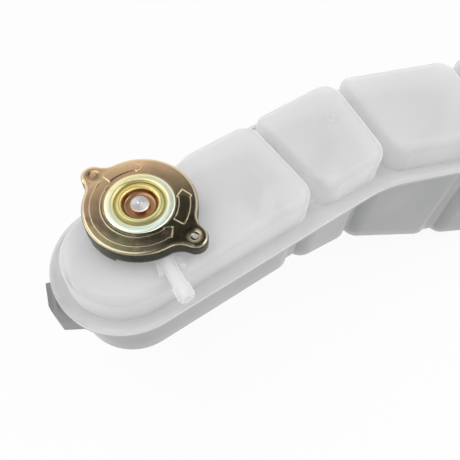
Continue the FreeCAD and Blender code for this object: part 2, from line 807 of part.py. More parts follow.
def gate_mark():
    """The ring and dimple that the moulding gate leaves on the second chamber."""
    frame = Frame("gate_at", 0, 0)
    ring, dimple = size("gate_radius"), size("gate_dimple")
    top = chamber_top + "gate_height"
    return turned("gate_mark", [(0, chamber_top - wall / 2), (ring, chamber_top - wall / 2),
                                (ring, chamber_top), (ring - dimple / 2, top), (dimple, top),
                                (0, chamber_top - dimple / 2)], frame)


def build_upper_shell():
    outlines = chamber_outlines("valley_gap", "valley_one", "valley_two", "valley_three")
    span = size("valley_gap") / 2 + "chamber_corner"
    passage = chamber_half - "bridge_inset"
    outside = [flange("upper_flange", False), lip("upper_lip")]
    hollow = []
    for number, outline in enumerate(outlines, start=1):
        outside.append(upper_chamber(f"upper_chamber_{number}", outline, 0))
        hollow.append(upper_chamber(f"upper_hollow_{number}", outline, wall))
    for number, frame in enumerate(valley_frames, start=1):
        outside.append(block(f"upper_bridge_{number}", frame, span, passage, "bridge_height", False))
        hollow.append(block(f"upper_passage_{number}", frame, span, passage - wall,
                            size("bridge_height") - wall, False))
    solid = fuse("upper_outside", outside)
    cavity = fuse("upper_cavity", hollow)
    shell = cut("upper_hollowed", solid, cavity)
    fittings = [shell, neck_outside(), nipple_outside(), neck_rib("neck_rib_1", "rib_one"),
                neck_rib("neck_rib_2", "rib_two"), gate_mark()]
    dressed = fuse("upper_dressed", fittings)
    bores = fuse("upper_bores", [neck_inside(), nipple_inside()])
    return cut("upper_shell", dressed, bores)


def mounting_lug():
    """The lug under the flange's round left end, with a hole that opens downwards."""
    end = Frame(-size("neck_to_end"), centre_y, 0)
    reach = size("lug_reach")
    start, finish = size("lug_start"), size("lug_finish")
    body = new_body("mounting_lug")
    top = -size("flange_thick") / 2
    sketch = plan_sketch(body, "mounting_lug_plan", end, top)
    far_reach, round_start = size("lug_far_reach"), size("lug_round_start")
    face = arc(sketch, ZERO, ZERO, reach, round_start.value, finish.value)
    root = chamber_half - wall / 2
    slant = finish + 12
    inner_edge = root * 1.2
    corners = [
        (reach * cos(finish), reach * sin(finish)),
        (inner_edge * cos(slant), inner_edge * sin(slant)),
        (root * cos(finish), root * sin(finish)),
        (root * cos(start), root * sin(start)),
        (far_reach * cos(start), far_reach * sin(start)),
        (reach * cos(round_start), reach * sin(round_start)),
    ]
    lines = []
    for (x0, y0), (x1, y1) in zip(corners[:-1], corners[1:]):
        line = Part.LineSegment(Vector(x0.value, y0.value, 0), Vector(x1.value, y1.value, 0))
        lines.append(sketch.addGeometry(line))
    for one, two in zip(lines[:-1], lines[1:]):
        sketch.addConstraint(Sketcher.Constraint("Coincident", one, 2, two, 1))
    sketch.addConstraint(Sketcher.Constraint("Coincident", face, 2, lines[0], 1))
    sketch.addConstraint(Sketcher.Constraint("Coincident", lines[-1], 2, face, 1))
    for line, (x, y) in zip(lines[1:], corners[1:-1]):
        fix(sketch, line, 1, "X", x)
        fix(sketch, line, 1, "Y", y)
    fix(sketch, lines[0], 1, "Y", corners[0][1])
    fix(sketch, lines[-1], 2, "Y", corners[-1][1])
    pad(body, sketch, size("lug_depth") + size("flange_thick") / 2, down=True)
    bottom = -size("flange_thick") - "lug_depth"
    hole = plan_sketch(body, "mounting_lug_hole", end, bottom)
    at, away = size("lug_bore_at"), size("lug_bore_reach")
    circle(hole, away * cos(at), away * sin(at), "lug_bore")
    pocket(body, hole, "lug_bore_depth", up=True)
    return body


def cross_web(label, frame, depth):
    """A web across the tank at a groove, parted in the middle down to the chamber floor."""
    body = new_body(label)
    sketch = cross_sketch(body, label + "_face", frame)
    half, gap = chamber_half - "groove_inset" - wall / 2, size("web_gap") / 2
    low, high = wall / 4 - depth, -size("web_top")
    foot = wall * 0.75 - depth
    polygon(sketch, [(-half, low), (half, low), (half, high), (gap, high),
                     (gap, foot), (-gap, foot), (-gap, high), (-half, high)])
    pad(body, sketch, "web_thick", symmetric=True)
    return body


outlet_root = size("leg_length") + chamber_half - wall - size("outlet_drop") * tan(size("lower_draft"))
outlet_end = outlet_root + wall + "outlet_length"


def outlet_outside():
    tube, bead = size("outlet_radius"), size("outlet_bead")
    start = outlet_end - "outlet_bead_length"
    taper = size("outlet_bead_length") / 3
    return tube_along("outlet_outside", LEG_TWO, -size("outlet_drop"),
                      [(outlet_root, 0), (outlet_end, 0), (outlet_end, tube),
                       (outlet_end - taper, bead), (start, bead), (start, tube), (outlet_root, tube)])


def outlet_inside():
    bore = size("outlet_bore")
    return tube_along("outlet_inside", LEG_TWO, -size("outlet_drop"),
                      [(outlet_root - wall, 0), (outlet_end + wall, 0), (outlet_end + wall, bore),
                       (outlet_root - wall, bore)])


def build_lower_shell():
    outlines = chamber_outlines("groove_gap", "groove_one", "groove_two", "groove_three")
    passage = chamber_half - "groove_inset"
    outside = [flange("lower_flange", True)]
    hollow = []
    webs = []
    for number, (outline, (floor, slope)) in enumerate(zip(outlines, floors), start=1):
        outside.append(lower_chamber(f"lower_chamber_{number}", outline, 0, floor, slope))
        hollow.append(lower_chamber(f"lower_hollow_{number}", outline, wall, floor, slope))
    for number, (frame, depth) in enumerate(zip(groove_frames, groove_depths), start=1):
        outside.append(block(f"lower_bridge_{number}", frame, groove_span, passage, depth, True))
        hollow.append(block(f"lower_passage_{number}", frame, groove_span, passage - wall, depth - wall, True))
        webs.append(cross_web(f"cross_web_{number}", frame, depth))
    solid = fuse("lower_outside", outside)
    cavity = fuse("lower_cavity", hollow)
    shell = cut("lower_hollowed", solid, cavity)
    lug = cut("lug_outside_cavity", mounting_lug(), cavity)
    dressed = fuse("lower_dressed", [shell, lug, outlet_outside()] + webs)
    return cut("lower_shell", dressed, outlet_inside())


cover_top = size("cover_top")
cover_foot = cover_top - "cover_skirt"
cover_under = cover_top - "cover_sheet"
dish_floor = cover_top - "dish_depth"
shell_floor_under = dish_floor - "cover_sheet"
shank_hole = size("rivet_shank") + sheet_gap
lug_top = collar_foot - "lug_gap"
lug_foot = lug_top - "cover_sheet"


def cover_blank(label, inset, low, high):
    """The cover's round and its two ears as a solid; inset moves the outline inwards."""
    inset = size(inset)
    body = new_body(label)
    sketch = plan_sketch(body, label + "_round", NECK, low)
    circle(sketch, 0, 0, size("cover_radius") - inset)
    pad(body, sketch, size(high) - low)
    tip = size("ear_tip") - inset
    ears = (("ear_angle", "ear_reach"), ("back_ear_angle", "back_ear_reach"))
    for number, (angle, reach) in enumerate(ears, start=1):
        end = plan_sketch(body, f"{label}_tip_{number}", around(angle), low)
        circle(end, size(reach) - "ear_tip", 0, tip)
        pad(body, end, size(high) - low)
    rim = size("cover_radius").value - inset.value

    def is_root(edge):
        middle = edge.CenterOfMass
        return is_upright(edge) and abs(math.hypot(middle.x, middle.y) - rim) < 0.01

    round_edges(body, is_root, size("ear_blend") + inset, label + "_blends")
    return body


def build_cap_shell():
    """The pressed cover: skirt, ears, raised rings, dished centre and two turned-in lugs."""
    thick = size("cover_sheet")
    outside = cover_blank("cover_outside", 0, cover_foot, cover_top)
    rim = ring_of_face(outside.Tip.Shape, 1)
    round_edges(outside, lambda edge: edge.hashCode() in rim, "cover_edge", "cover_outside_edge")
    inside = cover_blank("cover_inside", thick, cover_foot - thick, cover_under)
    inner_rim = ring_of_face(inside.Tip.Shape, 1)
    round_edges(inside, lambda edge: edge.hashCode() in inner_rim, size("cover_edge") - thick,
                "cover_inside_edge")
    cup = cut("cover_cup", outside, inside)

    high = cover_top + "ring_height"
    ring, groove, dish = size("ring_outer"), size("ring_groove"), size("dish_radius")
    bank = thick * 0.7
    edge = ring + thick * 2
    low = cover_top + size("ring_height") * 0.3
    centre_hole = turned("cover_centre_hole", [(0, cover_under - thick), (edge - bank, cover_under - thick),
                                               (edge - bank, cover_top + thick), (0, cover_top + thick)])
    pressed = turned("cover_centre", [
        (shank_hole, dish_floor), (dish - bank * 2, dish_floor), (dish, high),
        (groove - thick * 1.25, high), (groove - thick / 2, low), (groove + thick / 2, low),
        (groove + thick * 1.25, high), (ring, high), (ring + bank, cover_top), (edge, cover_top),
        (edge, cover_under), (ring + bank + thick / 2, cover_under), (ring + thick / 2, high - thick),
        (groove + thick * 0.9, high - thick), (groove + thick / 5, low - thick),
        (groove - thick / 5, low - thick), (groove - thick * 0.9, high - thick),
        (dish + bank, high - thick), (dish - bank * 0.5, shell_floor_under),
        (shank_hole, shell_floor_under)])

    inner, outer = size("cover_radius") - thick, size("cover_radius")
    tabs = []
    for number, turn in enumerate((0, 180), start=1):
        angle = size("notch_angle") + turn
        half = size("lug_width") / 2
        tab = new_body(f"cover_tab_{number}")
        sketch = plan_sketch(tab, f"cover_tab_{number}_plan", around(angle), lug_foot)
        spread = size("tab_half_angle")
        far_corner = outer / cos(spread)
        polygon(sketch, [(0, 0), (outer, -far_corner * sin(spread)), (outer, far_corner * sin(spread))])
        pad(tab, sketch, cover_foot - lug_foot + thick)
        lug = new_body(f"cover_lug_{number}")
        lug_plan = plan_sketch(lug, f"cover_lug_{number}_plan", around(angle), lug_foot)
        polygon(lug_plan, [("lug_inner", -half), (outer - thick / 2, -half),
                           (outer - thick / 2, half), ("lug_inner", half)])
        pad(lug, lug_plan, thick)
        tabs.append((tab, lug))
    sleeve = turned("cover_sleeve", [(inner, lug_foot), (outer, lug_foot),
                                     (outer, cover_foot + thick), (inner, cover_foot + thick)])
    wedges = fuse("cover_wedges", [tab for tab, lug in tabs])
    skirts = doc.addObject("Part::Common", "cover_tabs")
    skirts.Base = sleeve
    skirts.Tool = wedges
    doc.recompute()

    hole = new_body("ear_hole_pin")
    sketch = plan_sketch(hole, "ear_hole_plan", around("ear_angle"), cover_under - thick)
    circle(sketch, "ear_hole_at", 0, "ear_hole")
    pad(hole, sketch, thick * 4)
    openings = fuse("cover_openings", [centre_hole, hole])
    pierced = cut("cover_pierced", cup, openings)
    return fuse("cap_shell", [pierced, pressed, skirts] + [lug for tab, lug in tabs])


rim_seal_top = neck_top + "rim_seal_thick"
disc_top = rim_seal_top + "disc_sheet"
disc_floor_top = shell_floor_under - sheet_gap
disc_floor = disc_floor_top - "disc_sheet"
bell_foot = disc_floor - "bell_height"
tail_top = disc_floor - "bell_sheet"


def build_rivet():
    head, shank, tail = size("rivet_head"), size("rivet_shank"), size("rivet_tail")
    foot = dish_floor + sheet_gap
    top = dish_floor + "rivet_height"
    edge = (head - shank) / 4
    dimple = head / 4
    tail_foot = tail_top - "cover_sheet"
    return turned("centre_rivet", [
        (0, tail_foot), (tail, tail_foot), (tail, tail_top), (shank, tail_top), (shank, foot),
        (head, foot), (head, top - edge), (head - edge, top), (dimple, top), (dimple / 2, top - dimple / 3),
        (0, top - dimple / 3)])


def build_spring_disc():
    thick = size("disc_sheet")
    shank, dish = size("rivet_shank"), size("dish_radius")
    knee, shoulder = dish + thick, dish + thick * 4
    return turned("spring_disc", [
        (shank, disc_floor), (knee, disc_floor), (shoulder, rim_seal_top), ("disc_radius", rim_seal_top),
        ("disc_radius", disc_top), (shoulder - thick / 2, disc_top), (knee - thick / 2, disc_floor_top),
        (shank, disc_floor_top)])


def build_rim_seal():
    inner, outer = size("rim_seal_inner"), size("rim_seal_outer")
    return turned("rim_seal", [(inner, neck_top), (outer, neck_top), (outer, rim_seal_top),
                               (inner, rim_seal_top)])


def build_spring_bell():
    outer, thick, shank = size("bell_radius"), size("bell_sheet"), size("rivet_shank")
    inner = outer - thick
    lip = size("bell_lip")
    body = turned("spring_bell", [
        (shank, tail_top), (inner, tail_top), (inner, bell_foot + thick), (lip, bell_foot + thick),
        (lip, bell_foot), (outer, bell_foot), (outer, disc_floor), (shank, disc_floor)])
    window = cross_sketch(body, "bell_window", NECK)
    circle(window, 0, bell_foot + size("bell_height") / 2, "bell_window")
    first = pocket(body, window, outer + thick, up=True)
    plan = plan_sketch(body, "bell_axis", NECK, 0)
    polar(body, first, plan, "bell_windows")
    return body


plate_foot = seat_top + "seal_thick"
plate_top = plate_foot + "plate_sheet"
collar_rest = bell_foot + "bell_sheet" + sheet_gap * 3
keeper_foot = plate_top + "keeper_gap"


def build_valve_plate():
    thick = size("plate_sheet")
    stem_hole = size("vacuum_stem") + sheet_gap
    seal, waist, collar = size("seal_outer"), size("plate_waist"), size("plate_collar")
    rim = seal + thick
    rim_foot = seat_top + size("seal_thick") / 3
    body = turned("valve_plate", [
        (stem_hole, plate_foot), (seal, plate_foot), (seal, rim_foot), (rim, rim_foot), (rim, plate_top),
        (waist, plate_top), (waist, collar_rest), (collar, collar_rest), (collar, collar_rest + thick),
        (waist - thick, collar_rest + thick), (waist - thick, plate_top), (stem_hole, plate_top)])
    plan = plan_sketch(body, "plate_vent", NECK, plate_top)
    circle(plan, (stem_hole + "seal_inner") / 2 + size("plate_vent") / 2, 0, "plate_vent")
    vent = pocket(body, plan, thick * 2)
    polar(body, vent, plan, "plate_vents")
    return body


def build_valve_seal():
    inner, outer = size("seal_inner"), size("seal_outer")
    return turned("valve_seal", [(inner, seat_top), (outer, seat_top), (outer, plate_foot),
                                 (inner, plate_foot)])


def build_vacuum_valve():
    disc, stem = size("vacuum_disc"), size("vacuum_stem")
    foot = seat_top - "vacuum_sheet"
    tip = keeper_foot + size("keeper_sheet") * 1.5
    return turned("vacuum_valve", [(0, foot), (disc, foot), (disc, seat_top), (stem, seat_top),
                                   (stem, tip), (0, tip)])


def build_vacuum_keeper():
    stem, keeper = size("vacuum_stem"), size("keeper_radius")
    top = keeper_foot + "keeper_sheet"
    return turned("vacuum_keeper", [(stem, keeper_foot), (keeper, keeper_foot), (keeper, top), (stem, top)])


def coil_spring(label, mean_radius, wire, turns, low, high):
    """An open coil between two heights."""
    wire, low, high = size(wire), size(low), size(high)
    travel = high - low - wire
    body = new_body(label)
    sketch = upright_sketch(body, label + "_wire", NECK)
    circle(sketch, mean_radius, low + wire / 2, wire / 2)
    coil = body.newObject("PartDesign::AdditiveHelix", label + "_coil")
    coil.Profile = sketch
    coil.ReferenceAxis = (sketch, ["V_Axis"])
    coil.Mode = "height-turns-angle"
    coil.Height = travel.value
    coil.Turns = size(turns).value
    bind(coil, "Height", travel)
    bind(coil, "Turns", turns)
    doc.recompute()
    return body


pieces = [
    build_upper_shell(),
    build_lower_shell(),
    build_cap_shell(),
    build_rivet(),
    build_spring_disc(),
    build_rim_seal(),
    build_spring_bell(),
    build_valve_plate(),
    build_valve_seal(),
    build_vacuum_valve(),
    build_vacuum_keeper(),
    coil_spring("pressure_spring", "spring_radius", "spring_wire", "spring_turns",
                collar_rest + "plate_sheet", tail_top),
    coil_spring("vacuum_spring", "small_radius", "small_wire", "small_turns", plate_top, keeper_foot),
]

# The part's origin is the mouth of the lug's hole, so every piece is moved there.
lug_at = size("lug_bore_at")
hole_x = size("lug_bore_reach") * cos(lug_at) - "neck_to_end"
hole_y = size("lug_bore_reach") * sin(lug_at) + centre_y
hole_z = -size("flange_thick") - "lug_depth"
for piece in pieces:
    piece.Placement = Placement(Vector(-hole_x.value, -hole_y.value, -hole_z.value), Rotation())
    bind(piece, "Placement.Base.x", -hole_x)
    bind(piece, "Placement.Base.y", -hole_y)
    bind(piece, "Placement.Base.z", -hole_z)
doc.recompute()

for item in doc.Objects:
    if "Invalid" in item.State or "Error" in item.State:
        raise ValueError(f"{item.Label} failed: {item.State}")
for piece in pieces:
    if piece.Shape.isNull() or not piece.Shape.isValid() or not piece.Shape.Solids:
        raise ValueError(f"{piece.Label} has no valid solid")
for piece in pieces:
    piece.Shape.exportStep(f"parts/{piece.Label}.step")
    box = piece.Shape.BoundBox
    print(piece.Label, len(piece.Shape.Solids), "solid", round(piece.Shape.Volume / 1000, 2), "cm3",
          [round(value, 1) for value in (box.XMin, box.XMax, box.YMin, box.YMax, box.ZMin, box.ZMax)])
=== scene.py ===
import math

import bpy
import numpy as np
from mathutils import Euler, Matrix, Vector


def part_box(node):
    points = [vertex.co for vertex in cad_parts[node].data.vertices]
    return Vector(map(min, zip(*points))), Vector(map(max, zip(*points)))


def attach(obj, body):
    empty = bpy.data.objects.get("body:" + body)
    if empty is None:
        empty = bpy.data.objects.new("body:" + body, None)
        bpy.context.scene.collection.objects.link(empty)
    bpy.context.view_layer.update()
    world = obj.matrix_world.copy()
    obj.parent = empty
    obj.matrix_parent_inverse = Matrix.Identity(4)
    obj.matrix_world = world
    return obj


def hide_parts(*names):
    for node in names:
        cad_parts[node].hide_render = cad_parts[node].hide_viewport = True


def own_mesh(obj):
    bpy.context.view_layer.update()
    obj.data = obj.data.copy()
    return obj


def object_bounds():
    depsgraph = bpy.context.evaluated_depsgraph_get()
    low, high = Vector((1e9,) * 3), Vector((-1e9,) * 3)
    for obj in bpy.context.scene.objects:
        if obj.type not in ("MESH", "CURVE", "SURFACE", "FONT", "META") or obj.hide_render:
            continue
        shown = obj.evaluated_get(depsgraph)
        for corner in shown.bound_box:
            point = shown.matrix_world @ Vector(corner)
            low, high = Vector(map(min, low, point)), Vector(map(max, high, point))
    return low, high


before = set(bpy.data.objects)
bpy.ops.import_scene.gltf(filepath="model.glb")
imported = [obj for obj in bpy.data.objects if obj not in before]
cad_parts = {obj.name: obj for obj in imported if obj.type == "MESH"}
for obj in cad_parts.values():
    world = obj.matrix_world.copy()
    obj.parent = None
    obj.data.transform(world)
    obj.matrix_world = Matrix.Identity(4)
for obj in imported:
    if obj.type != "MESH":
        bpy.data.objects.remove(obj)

cad_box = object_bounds()
scene = bpy.context.scene
MM = 0.001

# The neck's axis in plan, and the weld plane's height
rivet_low, rivet_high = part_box("centre_rivet")
NECK_X = (rivet_low.x + rivet_high.x) / 2
NECK_Y = (rivet_low.y + rivet_high.y) / 2
WELD_Z = 14.5 * MM

# Camera: its place in millimetres from the neck's axis at the weld plane, its turn in degrees, its lens
CAMERA_FROM_NECK = (-65.117, -164.277, 293.821)
CAMERA_TURN = (30.525, 0.0, -33.897)
CAMERA_LENS = 41.383
CAMERA_SENSOR = 36
CAMERA_SHIFT = (0.05435, 0.02174)
CAMERA_CLIP = 0.01

camera_data = bpy.data.cameras.new("camera")
camera_data.sensor_width = CAMERA_SENSOR
camera_data.lens = CAMERA_LENS
camera_data.shift_x, camera_data.shift_y = CAMERA_SHIFT
camera_data.clip_start = CAMERA_CLIP
camera = bpy.data.objects.new("camera", camera_data)
scene.collection.objects.link(camera)
camera.location = (NECK_X + CAMERA_FROM_NECK[0] * MM, NECK_Y + CAMERA_FROM_NECK[1] * MM,
                   WELD_Z + CAMERA_FROM_NECK[2] * MM)
camera.rotation_euler = Euler([math.radians(angle) for angle in CAMERA_TURN])
scene.camera = camera


# Building node trees

class Tree:
    """A node tree with short ways to add and join nodes."""

    def __init__(self, node_tree):
        self.nodes = node_tree.nodes
        self.links = node_tree.links

    def add(self, kind, **settings):
        node = self.nodes.new(kind)
        for key, value in settings.items():
            setattr(node, key, value)
        return node

    def join(self, source, target):
        self.links.new(source, target)

    def feed(self, socket, value):
        """Joins a socket to an output, or gives it a constant. Colours are red, green and blue."""
        if isinstance(value, bpy.types.NodeSocket):
            self.join(value, socket)
        elif socket.type == "RGBA":
            socket.default_value = (*value, 1)
        else:
            socket.default_value = value

    def math(self, operation, *values, clamp=False):
        node = self.add("ShaderNodeMath", operation=operation, use_clamp=clamp)
        for socket, value in zip(node.inputs, values):
            self.feed(socket, value)
        return node.outputs[0]

    def past(self, high, low, steepness):
        """A share that climbs from 0 to 1 as one value passes another, by the steepness to a unit."""
        return self.math("MULTIPLY", self.math("SUBTRACT", high, low), steepness, clamp=True)

    def vector_math(self, operation, one, two=(0, 0, 0)):
        node = self.add("ShaderNodeVectorMath", operation=operation)
        self.join(one, node.inputs[0])
        node.inputs[1].default_value = two
        return node

    def ramp(self, factor, stops):
        """Colours at places from 0 to 1, blended evenly between them."""
        node = self.add("ShaderNodeValToRGB")
        elements = node.color_ramp.elements
        while len(elements) < len(stops):
            elements.new(0.5)
        for element, (position, colour) in zip(elements, stops):
            element.position = position
            element.color = (*colour, 1)
        self.join(factor, node.inputs["Fac"])
        return node.outputs["Color"]

    def grey(self, factor, stops):
        """A ramp whose stops are levels from 0 to 1."""
        return self.ramp(factor, [(position, (level, level, level)) for position, level in stops])

    def mix(self, factor, one, two, blend="MIX"):
        node = self.add("ShaderNodeMix", data_type="RGBA", blend_type=blend)
        self.feed(node.inputs["Factor"], factor)
        self.feed(node.inputs[6], one)
        self.feed(node.inputs[7], two)
        return node.outputs[2]


class Shader(Tree):
    """A new material."""

    def __init__(self, name):
        self.material = bpy.data.materials.new(name)
        self.material.use_nodes = True
        super().__init__(self.material.node_tree)
        self.principled = self.nodes["Principled BSDF"]

    def set(self, **values):
        """Feeds the surface's inputs, whose names have underscores for spaces."""
        for key, value in values.items():
            self.feed(self.principled.inputs[key.replace("_", " ")], value)

    def place(self, offset=(0, 0, 0), stretch=(1, 1, 1)):
        """The surface's own place in the object, moved and stretched."""
        moved = self.add("ShaderNodeMapping", vector_type="TEXTURE")
        self.join(self.add("ShaderNodeTexCoord").outputs["Object"], moved.inputs["Vector"])
        moved.inputs["Location"].default_value = offset
        return self.vector_math("MULTIPLY", moved.outputs[0], stretch).outputs["Vector"]

    def facing_up(self, stops):
        """A share by how far the surface faces up."""
        split = self.add("ShaderNodeSeparateXYZ")
        self.join(self.add("ShaderNodeTexCoord").outputs["Normal"], split.inputs[0])
        return self.grey(split.outputs["Z"], stops)

    def noise(self, vector, scale, detail=2.0, roughness=0.5, distortion=0.0):
        """Soft noise, whose scale is in waves to the metre."""
        node = self.add("ShaderNodeTexNoise")
        self.join(vector, node.inputs["Vector"])
        for key, value in (("Scale", scale), ("Detail", detail), ("Roughness", roughness),
                           ("Distortion", distortion)):
            node.inputs[key].default_value = value
        return node.outputs["Fac"]

    def metal(self, brushed):
        """Bare metal, brushed round the object's upright axis."""
        self.set(Metallic=1.0, Anisotropic=brushed)
        if brushed:
            around = self.add("ShaderNodeTangent", direction_type="RADIAL", axis="Z")
            self.set(Tangent=around.outputs[0])

    def bump(self, height, strength, distance):
        node = self.add("ShaderNodeBump")
        node.inputs["Strength"].default_value = strength
        node.inputs["Distance"].default_value = distance
        self.join(height, node.inputs["Height"])
        self.set(Normal=node.outputs[0])

    def blend(self, share, other):
        """Gives a share of the surface to another shader."""
        node = self.add("ShaderNodeMixShader")
        self.feed(node.inputs[0], share)
        self.join(self.principled.outputs[0], node.inputs[1])
        self.join(other.outputs[0], node.inputs[2])
        self.join(node.outputs[0], self.nodes["Material Output"].inputs["Surface"])


def dress(node, material):
    """Puts a material in every slot of a piece that is kept as it was loaded."""
    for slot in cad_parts[node].material_slots:
        slot.material = material


def smooth(item):
    for polygon in item.data.polygons:
        polygon.use_smooth = True


def mesh_object(name, points, faces):
    mesh = bpy.data.meshes.new(name)
    mesh.from_pydata([tuple(point) for point in points], [], [tuple(face) for face in faces])
    item = bpy.data.objects.new(name, mesh)
    scene.collection.objects.link(item)
    return item


# Milky tank plastic

# The share of light scattered through the wall, how far the wall hides what lies behind it where it is
# seen at a slant, and the lighter colour painted on the faces that look up: painted light
THROUGH_SHARE = 0.24
RIM_ALPHA = 0.95
FLOOR_PAINTED_LIGHT = (0.96, 0.96, 0.96)

# The mounting lug ends at the first chamber's side. Its painted shade stops just over its top face, which
# is painted darker still from the edge up
MOUNT_SIDE_X = 7.5 * MM
MOUNT_ABOVE_Z = 13.8 * MM
MOUNT_EDGE_Z = 12.6 * MM
MOUNT_TOP_SHADE = 0.55


def tank_plastic(name, deep, pale, through_tint, alpha, sheen, lug_painted_shade=None):
    """Cloudy white plastic: part of the light is scattered through the wall, a little passes straight."""
    shader = Shader(name)
    place = shader.place()
    cloud = shader.noise(place, 26, 3, 0.55)
    colour = shader.ramp(cloud, [(0.35, deep), (0.68, pale)])
    if lug_painted_shade:
        # Faces that look up, the chamber floors among them, are painted lighter: painted light from above,
        # in the surface and in the light scattered through it
        up_painted_light_share = shader.facing_up([(0.35, 0.0), (0.85, 1.0)])
        colour = shader.mix(up_painted_light_share, colour, FLOOR_PAINTED_LIGHT)
        through_tint = shader.mix(up_painted_light_share, through_tint, FLOOR_PAINTED_LIGHT)
        # The lug is painted darker than the walls, its top face darker still: painted shade
        split = shader.add("ShaderNodeSeparateXYZ")
        shader.join(place, split.inputs[0])
        outside = shader.past(MOUNT_SIDE_X, split.outputs["X"], 300)
        below = shader.past(MOUNT_ABOVE_Z, split.outputs["Z"], 3000)
        on_top = shader.past(split.outputs["Z"], MOUNT_EDGE_Z, 2000)
        lug_shade_tone = shader.mix(on_top, lug_painted_shade, tuple(MOUNT_TOP_SHADE * level for level in lug_painted_shade))
        lug_shade_share = shader.math("MULTIPLY", outside, below)
        colour = shader.mix(lug_shade_share, colour, lug_shade_tone)
        through_tint = shader.mix(lug_shade_share, through_tint, lug_shade_tone)
    # Less of what lies behind shows where the wall is seen at a slant
    slant = shader.add("ShaderNodeLayerWeight")
    slant.inputs["Blend"].default_value = 0.5
    cover = shader.grey(slant.outputs["Facing"], [(0.45, alpha), (0.85, RIM_ALPHA)])
    flow = shader.noise(shader.place(stretch=(0.35, 1, 0.6)), 120, 3, 0.6)
    shader.set(Base_Color=colour, Alpha=cover, Roughness=shader.grey(flow, [(0.3, 0.1), (0.7, 0.17)]),
               IOR=1.49, Sheen_Weight=sheen, Sheen_Roughness=0.5)
    shader.bump(shader.noise(place, 420, 3, 0.55), 0.08, 0.0003)
    through = shader.add("ShaderNodeBsdfTranslucent")
    shader.feed(through.inputs["Color"], through_tint)
    shader.blend(THROUGH_SHARE, through)
    return shader.material


dress("upper_shell", tank_plastic(
    "tank_plastic_upper", deep=(0.955, 0.957, 0.96), pale=(0.975, 0.975, 0.973),
    through_tint=(0.99, 0.991, 0.993), alpha=0.38, sheen=0.9))
# The lower shell is the same milky plastic as the upper one, painted much darker: painted shade on its
# sides
dress("lower_shell", tank_plastic(
    "tank_plastic_lower_painted_shade", deep=(0.53, 0.535, 0.54), pale=(0.60, 0.60, 0.60),
    through_tint=(0.76, 0.765, 0.77), alpha=0.58, sheen=0.1, lug_painted_shade=(0.36, 0.36, 0.36)))


# Pressed cap: outline with two ears, embossed frames, rings and the skirt, as one sheet
# Lengths are in millimetres, angles in degrees, and polar places are a reach and an angle

# Heights of the cover's flat and of its foot above the weld plane, and the sheet's thickness
COVER_TOP = 42.5
COVER_FOOT = 33.5
SHEET = 1.0

# The outline: radii of the upper edge, the round, an ear's tip and the hollow curve beside an ear
EDGE = 2.2
ROUND = 34.0
TIP = 7.3
BLEND = 12.0

# Angle and reach of the near ear, which has a hole, and of the far ear, which has a dimple
EARS = ((-67.5, 46.2), (111.0, 43.4))
HOLE_AT = 38.6
HOLE_RADIUS = 1.5
DIMPLE_AT = 36.2
DIMPLE_RADIUS = 1.9
DIMPLE_DEPTH = 0.5

# The hollow in an ear: its depth, the reach of its flat middle and the width of its slope
EAR_DISH = 0.45
EAR_DISH_FLAT = 1.5
EAR_DISH_SLOPE = 4.0

# The skirt's two tabs and the locking lugs at their feet: angle, half of a tab in degrees, the lug's
# height, its inner reach, its half width and the radius of its corners and of its bevel
LUG_ANGLE = 19.0
TAB_HALF = 15.5
LUG_FOOT = 30.9
LUG_INNER = 24.8
LUG_HALF = 6.5
LUG_CORNER = 2.0
LUG_BEVEL = 0.2

# The rings' heights over the flat, by reach
RING_PROFILE = [
    (3.3, -2.8), (8.2, -2.8), (9.2, -2.5), (10.0, -1.3), (10.7, 0.35), (11.4, 1.05), (12.3, 1.28),
    (13.2, 1.2), (13.9, 0.72), (14.5, 0.4), (15.1, 0.4), (15.8, 0.78), (16.5, 1.18), (17.6, 1.3),
    (19.5, 1.22), (20.3, 0.98), (20.9, 0.3), (21.5, 0.04), (23.0, 0.0), (27.0, -0.14), (31.0, -0.4),
    (34.0, -0.62), (60.0, -0.9)]

# Reaches of the mesh's rings on the upper and the under side, and the circle where they leave the round
UPPER_RINGS = [
    3.3, 6.0, 8.2, 8.8, 9.2, 9.5, 9.8, 10.1, 10.4, 10.7, 11.0, 11.3, 11.7, 12.1, 12.6, 13.1, 13.5,
    13.8, 14.1, 14.4, 14.8, 15.2, 15.5, 15.8, 16.1, 16.5, 17.0, 17.6, 18.4, 19.1, 19.6, 20.0, 20.3,
    20.6, 20.85, 21.1, 21.35, 21.6, 21.85, 22.1]
LEAVING_CIRCLE = 22.35
UNDER_RINGS = [
    LEAVING_CIRCLE, 20.2, 19.3, 17.4, 16.3, 15.3, 14.3, 13.3, 12.2, 11.5, 10.9, 10.2, 9.4, 8.4, 6.0, 3.3]

# Points in a ring of the mesh, and rings between that circle and the outline
AROUND = 640
FLAT_RINGS = 46

# Bevels at the foot of the skirt
OUTER_BEVEL = 0.25
INNER_BEVEL = 0.2

# The under side follows the rings moved in by a part of the sheet, no higher than their crown, and
# hangs a little lower under the flat
UNDER_SHIFT = 0.35
UNDER_SHIFT_WITHIN = 20.3
UNDER_CROWN = 1.3
UNDER_SAG = 0.12


def steady_curve(points, at):
    """A smooth curve through points that never overshoots them."""
    x, y = np.array(points, float).T
    step = np.diff(x)
    slope = np.diff(y) / step
    same = slope[:-1] * slope[1:] > 0
    one, two = 2 * step[1:] + step[:-1], step[1:] + 2 * step[:-1]
    inner = np.zeros(len(slope) - 1)
    inner[same] = (one + two)[same] / (one[same] / slope[:-1][same] + two[same] / slope[1:][same])
    tangent = np.zeros(len(x))
    tangent[1:-1] = inner
    index = np.clip(np.searchsorted(x, at) - 1, 0, len(step) - 1)
    part = (at - x[index]) / step[index]
    square, cube = part ** 2, part ** 3
    rise = y[index] * (2 * cube - 3 * square + 1) + y[index + 1] * (3 * square - 2 * cube)
    lean = tangent[index] * (cube - 2 * square + part) + tangent[index + 1] * (cube - square)
    return rise + step[index] * lean


